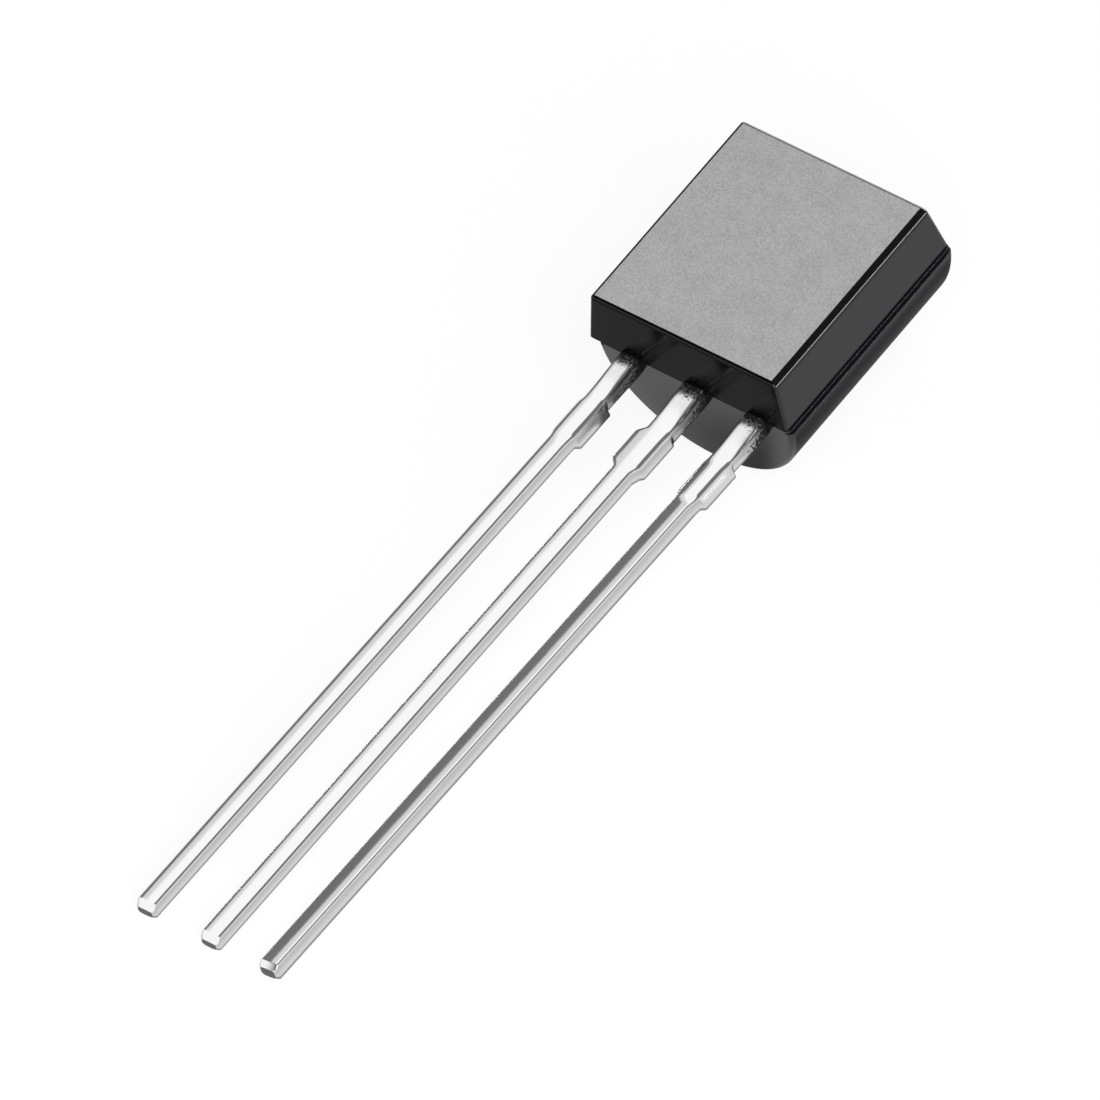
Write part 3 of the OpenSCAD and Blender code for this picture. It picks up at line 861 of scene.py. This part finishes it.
# Painted shade: the part of each side face next to the front face is given a darker tin colour.
upper_side = calc(tree, "MULTIPLY", ramp(tree, torn, 0.02, 0.1), ramp(tree, torn, 0.15, 0.8, 1.0, 0.0))
side = blend(tree, upper_side, bright, grey(SIDE_SHADE_TONE))
# Painted shade: the back edges and the back face are given a much darker tin colour.
back_edge_shade = blend(tree, ramp(tree, torn, 0.80, 1.0), side, grey(BACK_EDGE_SHADE_TONE))
rolled = add_node(tree, "ShaderNodeAttribute", attribute_name="rolled").outputs["Fac"]
# Painted shade: the rolled front edges are darkened within a millimetre of the moulding.
near_root = ramp(tree, from_body, 0.5, 1.0, 0.85, 0.0)
root_edge_shade = calc(tree, "MULTIPLY", ramp(tree, rolled, 0.0, 0.5), near_root)
metal = blend(tree, root_edge_shade, blend(tree, cut_end, back_edge_shade, grey(CUT_TONE)), grey(ROOT_EDGE_SHADE_TONE))
metal_rough = calc(tree, "MULTIPLY_ADD", draw_marks, 0.08, 0.06)
side_rough = calc(tree, "MULTIPLY_ADD", upper_side, 0.20, metal_rough)
rolled_rough = calc(tree, "MULTIPLY_ADD", rolled, 0.14, side_rough)
cut_rough = calc(tree, "ADD", calc(tree, "MULTIPLY_ADD", cut_end, 0.3, rolled_rough),
                 ramp(tree, from_body, 0.35, 0.75, 0.10, 0.0))
rough = add_node(tree, "ShaderNodeMix", {0: flash, 2: cut_rough, 3: FLASH_ROUGH}, data_type="FLOAT")
height = calc(tree, "MULTIPLY_ADD", flash, 3.0, calc(tree, "MULTIPLY", draw_marks, 0.5))
relief = add_node(tree, "ShaderNodeBump", {"Height": height, "Strength": 0.15, "Distance": 0.002 * MM})
socket(tree, shader, Base_Color=blend(tree, flash, metal, grey(FLASH_TONE)),
       Metallic=calc(tree, "SUBTRACT", 1.0, flash), Roughness=rough.outputs[0],
       Specular_IOR_Level=0.1, Normal=relief.outputs["Normal"])
for lead in leads.values():
    lead.data.materials.clear()
    lead.data.materials.append(tin)

# %% [markdown]
# ### Inside the moulding
#
# The chip, the solder under it and the two gold wires keep their solids as they
# are. Nobody sees them until the moulding is opened, and then they have what
# the real ones have: a polished blue-grey chip, grey solder that has flowed, and
# drawn gold.

# %% Finishes of the sealed pieces
def dress(node_name, finish):
    """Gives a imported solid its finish."""
    mesh = frame["nodes"][node_name].data
    mesh.materials.clear()
    mesh.materials.append(finish)


silicon, tree, shader, place = new_finish("polished_silicon")
cells = add_node(tree, "ShaderNodeTexBrick", {
    "Vector": place, "Color1": (0.10, 0.11, 0.15, 1), "Color2": (0.13, 0.14, 0.19, 1),
    "Mortar": (0.42, 0.43, 0.45, 1), "Scale": 1.0, "Mortar Size": 0.006,
    "Brick Width": 0.09, "Row Height": 0.09})
socket(tree, shader, Base_Color=cells.outputs["Color"], Metallic=0.9,
       Roughness=calc(tree, "MULTIPLY_ADD", grain(tree, place, 12.0), 0.08, 0.08))
dress("transistor_chip", silicon)

solder, tree, shader, place = new_finish("solder_layer")
flow = grain(tree, place, 8.0, contrast=1.4)
relief = add_node(tree, "ShaderNodeBump", {"Height": flow, "Strength": 0.4, "Distance": 0.006 * MM})
socket(tree, shader, Base_Color=blend(tree, flow, grey(0.42), grey(0.62)), Metallic=1.0,
       Roughness=calc(tree, "MULTIPLY_ADD", flow, 0.2, 0.3), Normal=relief.outputs["Normal"])
dress("die_attach", solder)

gold, tree, shader, place = new_finish("gold_wire")
drawn = grain(tree, place, 60.0, contrast=1.2)
socket(tree, shader, Base_Color=blend(tree, drawn, (0.86, 0.58, 0.22, 1), (0.95, 0.70, 0.33, 1)),
       Metallic=1.0, Roughness=calc(tree, "MULTIPLY_ADD", drawn, 0.15, 0.15))
for wire in ("base_bond_wire", "emitter_bond_wire"):
    dress(wire, gold)

# %% [markdown]
# ## Floor and light
#
# Polished tin and glossy compound show what is round them more than their own
# colour, so the light is built as a product photographer would: a white sweep
# underneath, a soft box above and behind on the left whose reflection lies along
# the leads, a large soft fill beside the camera, a low strip behind on the right
# that draws the moulding's edge, and a room that darkens overhead.

# %% The floor's sheet
FLOOR_SIZE = 3.0
floor_mesh = bpy.data.meshes.new("floor")
corners = FLOOR_SIZE / 2 * np.array([(-1, -1, 0), (1, -1, 0), (1, 1, 0), (-1, 1, 0)])
floor_mesh.from_pydata(corners.tolist(), [], [(0, 1, 2, 3)])
floor = bpy.data.objects.new("floor", floor_mesh)
bpy.context.scene.collection.objects.link(floor)

# %% [markdown]
# To the camera and in reflections the paper glows white, mixed with enough matte
# paper to keep the shadow that the camera sees. What glows has no shadow in a
# reflection, so a shade under and beside the moulding is put back by its place:
# it fades in and out between pairs of bounds, and slants back on the right.

# %% The white sweep and its shade
WHITE_SHARE, MIRRORED_SHARE = 0.80, 0.95
CAMERA_TONE, MIRRORED_TONE, SHADE_TONE = 1.09, 0.72, 0.12
SHADE_LEFT, SHADE_RIGHT = (-2.2, 1.6), (2.4, 3.9)
SHADE_NEAR, SHADE_FAR = (-0.85, 0.05), (1.2, 2.6)
SLANT, SLANT_BACK = (0.5, 1.8), -1.25
paper = bpy.data.materials.new("white_sweep")
paper.use_nodes = True
tree = paper.node_tree
tree.nodes.remove(tree.nodes["Principled BSDF"])
where = add_node(tree, "ShaderNodeSeparateXYZ", {
    "Vector": add_node(tree, "ShaderNodeTexCoord").outputs["Object"]})
lead_end, top_end = float(LIE_OFFSET[1] * MM), float((LIE_OFFSET[1] + BODY_H) * MM)
set_back = ramp(tree, where.outputs["X"], *(x * MM for x in SLANT), 0.0, SLANT_BACK * MM)
past_edge = calc(tree, "ADD", where.outputs["Y"], set_back)
along = calc(tree, "MULTIPLY", ramp(tree, past_edge, *(lead_end + y * MM for y in SHADE_NEAR)),
             ramp(tree, where.outputs["Y"], *(top_end + y * MM for y in SHADE_FAR), 1.0, 0.0))
beside = calc(tree, "MULTIPLY", ramp(tree, where.outputs["X"], *(x * MM for x in SHADE_LEFT)),
              ramp(tree, where.outputs["X"], *(x * MM for x in SHADE_RIGHT), 1.0, 0.0))
under = calc(tree, "MULTIPLY", beside, along)
rays = add_node(tree, "ShaderNodeLightPath").outputs
mirrored = calc(tree, "MAXIMUM", rays["Is Glossy Ray"], rays["Is Transmission Ray"])
share = calc(tree, "MULTIPLY_ADD", rays["Is Camera Ray"], WHITE_SHARE,
             calc(tree, "MULTIPLY", mirrored, MIRRORED_SHARE))
mirrored_tone = calc(tree, "MULTIPLY_ADD", under, SHADE_TONE - MIRRORED_TONE, MIRRORED_TONE)
tone = add_node(tree, "ShaderNodeMix", {
    0: rays["Is Camera Ray"], 2: mirrored_tone, 3: CAMERA_TONE}, data_type="FLOAT").outputs[0]
matte_paper = add_node(tree, "ShaderNodeBsdfDiffuse", {"Color": grey(0.86)}).outputs[0]
white = add_node(tree, "ShaderNodeEmission", {"Color": grey(1.0), "Strength": tone}).outputs[0]
seen = add_node(tree, "ShaderNodeMixShader", {0: share, 1: matte_paper, 2: white}).outputs[0]
from_below = add_node(tree, "ShaderNodeNewGeometry").outputs["Backfacing"]
clear = add_node(tree, "ShaderNodeBsdfTransparent").outputs[0]
one_sided = add_node(tree, "ShaderNodeMixShader", {0: from_below, 1: seen, 2: clear}).outputs[0]
tree.links.new(one_sided, tree.nodes["Material Output"].inputs["Surface"])
floor_mesh.materials.append(paper)

# %% [markdown]
# The world is a grey room: pale at the horizon, where the sweep curves up, and
# darker towards the ceiling at the back.

# %% The room
world = bpy.data.worlds.new("room")
world.use_nodes = True
tree = world.node_tree
looks = add_node(tree, "ShaderNodeTexCoord").outputs["Generated"]
split = add_node(tree, "ShaderNodeSeparateXYZ", {"Vector": looks})
low_sky = ramp(tree, split.outputs["Z"], 0.0, 0.12, 0.6, 0.0)
front_sky = ramp(tree, split.outputs["Y"], 0.0, -0.4, 0.0, 1.0)
front_part = calc(tree, "MULTIPLY", front_sky, ramp(tree, split.outputs["Z"], 0.36, 0.50, 1.0, 0.0))
front_dark = calc(tree, "MULTIPLY", front_sky, ramp(tree, split.outputs["Z"], 0.40, 0.55))
pale = calc(tree, "MAXIMUM", low_sky, front_part)
dark = calc(tree, "MULTIPLY_ADD", front_dark, -0.14, 0.17)
tone = calc(tree, "MULTIPLY_ADD", pale, 0.85, dark)
tree.links.new(tone, tree.nodes["Background"].inputs["Strength"])
tree.nodes["Background"].inputs["Color"].default_value = grey(1.0)
bpy.context.scene.world = world

# %% [markdown]
# Each lamp is a rectangle given by the direction it stands in from the part, in
# the component's frame, its distance and its size, and by the brightness of its
# surface, where 1 is as bright as white paper in full light.

# %% The soft boxes
def soft_box(name, direction, distance, across, along, brightness):
    """An area lamp that looks at the moulding; its power is brightness times pi times its area.

    One pair of its edges leans as little as possible from the leads' direction, and
    has the length along.
    """
    data = bpy.data.lights.new(name, "AREA")
    data.shape, data.size, data.size_y = "RECTANGLE", across * MM, along * MM
    data.energy = brightness * math.pi * across * along * MM**2
    lamp = bpy.data.objects.new(name, data)
    bpy.context.scene.collection.objects.link(lamp)
    away = Vector(LIE @ direction).normalized()
    side = Vector(LIE @ (0.0, 1.0, 0.0)).cross(away).normalized()
    aimed = Matrix((side, away.cross(side), away)).transposed()
    target = Vector(lay_down((0.0, 0.0, 0.0)))
    lamp.matrix_world = Matrix.Translation(target + away * distance * MM) @ aimed.to_4x4()
    print(name, "at", [round(c / MM) for c in lamp.location], "mm,", round(data.energy, 4), "W")
    return lamp


soft_box("key_box", (-0.45, 0.436, 0.778), 200, 92, 150, 0.55)
soft_box("key_core", (-0.39, 0.436, 0.811), 195, 68, 150, 0.32)
soft_box("fill_box", (0.75, -0.55, 0.75), 220, 260, 200, 3.7)
soft_box("edge_strip", (0.888, 0.436, 0.148), 220, 26, 120, 14.0)

scene = bpy.context.scene
scene.view_settings.view_transform = "Standard"
